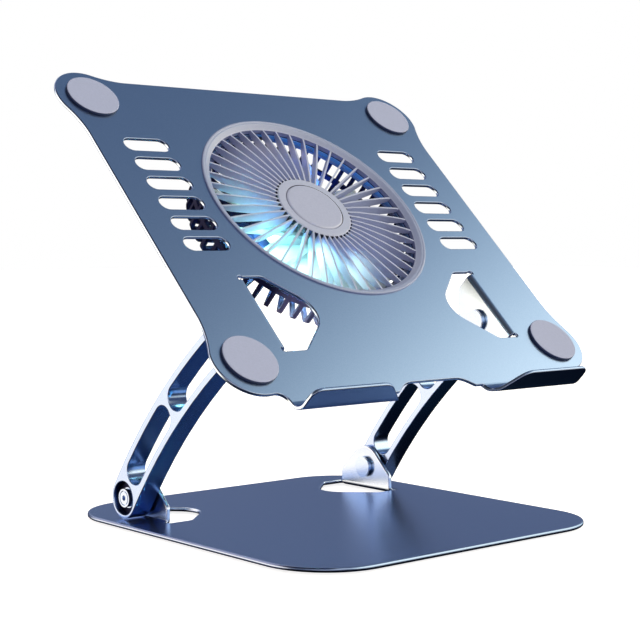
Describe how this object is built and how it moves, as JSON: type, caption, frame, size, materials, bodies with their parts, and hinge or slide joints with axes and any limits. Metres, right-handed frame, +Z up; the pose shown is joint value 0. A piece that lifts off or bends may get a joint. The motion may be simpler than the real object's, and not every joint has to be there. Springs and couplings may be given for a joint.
{
  "type": "laptop cooling pad",
  "caption": "Folding metal laptop stand with a sloped tray, corner pads, front stops, hinged arms and a round lit cooling fan under a vaned grille.",
  "frame": {"origin": "centre of the base plate on the desk", "axes": "+Z up, +Y towards the back, where the tray is highest, +X to the user's right"},
  "size_m": [0.2628, 0.226, 0.2508],
  "materials": {
    "anodised_plate": "satin anodised, blue-grey, bright cut edges",
    "arm_metal": "satin anodised bar, bright edges",
    "hinge_steel": "turned steel",
    "fastener_steel": "plated steel",
    "hinge_washer": "blackened steel friction washer",
    "foot_rubber": "matt rubber",
    "pad_silicone": "matt silicone",
    "grille_plastic": "fine matt, pale lilac grey",
    "cap_plastic": "satin",
    "basket_plastic": "dark blue, fine matt",
    "circuit_board": "solder mask",
    "light_board": "white solder mask",
    "light_guide": "clear, lit",
    "impeller_plastic": "milky clear",
    "core_steel": "laminated steel",
    "cup_steel": "drawn steel",
    "magnet": "bonded magnet",
    "winding": "enamelled copper",
    "lead": "insulation",
    "inlet_metal": "plated shell",
    "button_plastic": "satin"
  },
  "bodies": {
    "base": {"base_plate": "anodised_plate", "base_feet": "foot_rubber", "lower_pivot_bolts": "hinge_steel", "lower_pivot_nuts": "hinge_steel", "lower_washers": "hinge_washer"},
    "arms": {"left_arm": "arm_metal", "right_arm": "arm_metal"},
    "upper_hinge_bolts": {"upper_pivot_bolts": "hinge_steel", "upper_pivot_nuts": "hinge_steel", "upper_washers": "hinge_washer"},
    "tray": {"tray_plate": "anodised_plate", "tray_pads": "pad_silicone", "fan_studs": "fastener_steel", "fan_nuts": "fastener_steel", "fan_grille": "grille_plastic", "grille_cap": "cap_plastic", "fan_basket": "basket_plastic", "motor_cover": "cap_plastic", "light_board": "light_board", "light_ring": "light_guide", "stator_core": "core_steel", "stator_coils": "winding", "motor_board": "circuit_board", "motor_bearings": "fastener_steel", "fan_lead": "lead", "control_housing": "basket_plastic", "control_lid": "basket_plastic", "control_board": "circuit_board", "usb_inlet": "inlet_metal", "control_screws": "fastener_steel"},
    "rotor": {"impeller": "impeller_plastic", "rotor_cup": "cup_steel", "rotor_magnet": "magnet", "motor_shaft": "fastener_steel", "shaft_clip": "fastener_steel"},
    "button": {"speed_button": "button_plastic"}
  },
  "joints": [
    {"name": "arm_hinge", "type": "hinge", "parent": "base", "child": "arms", "pos_m": [0, 0.0629, 0.0157], "axis": [1, 0, 0], "range_deg": [-30, 37]},
    {"name": "tray_fold", "type": "hinge", "parent": "arms", "child": "upper_hinge_bolts", "pos_m": [0, -0.03313, 0.11173], "axis": [1, 0, 0], "range_deg": [-52, 42.5]},
    {"name": "tray_tilt", "type": "hinge", "parent": "upper_hinge_bolts", "child": "tray", "pos_m": [0, -0.03313, 0.11173], "axis": [-1, 0, 0], "range_deg": [-11, 29]},
    {"name": "fan_spin", "type": "hinge", "parent": "tray", "child": "rotor", "pos_m": [0, 0.01401, 0.17812], "axis": [0, -0.6984, 0.7157], "continuous": true},
    {"name": "button_press", "type": "slide", "parent": "tray", "child": "button", "axis": [0, -0.7157, -0.6984], "range_m": [0, 0.001], "stiffness_N_per_m": 400, "springref_m": -0.0008}
  ],
  "couplings": [
    {"joint": "tray_fold", "follows": "arm_hinge", "ratio": -1.4}
  ]
}
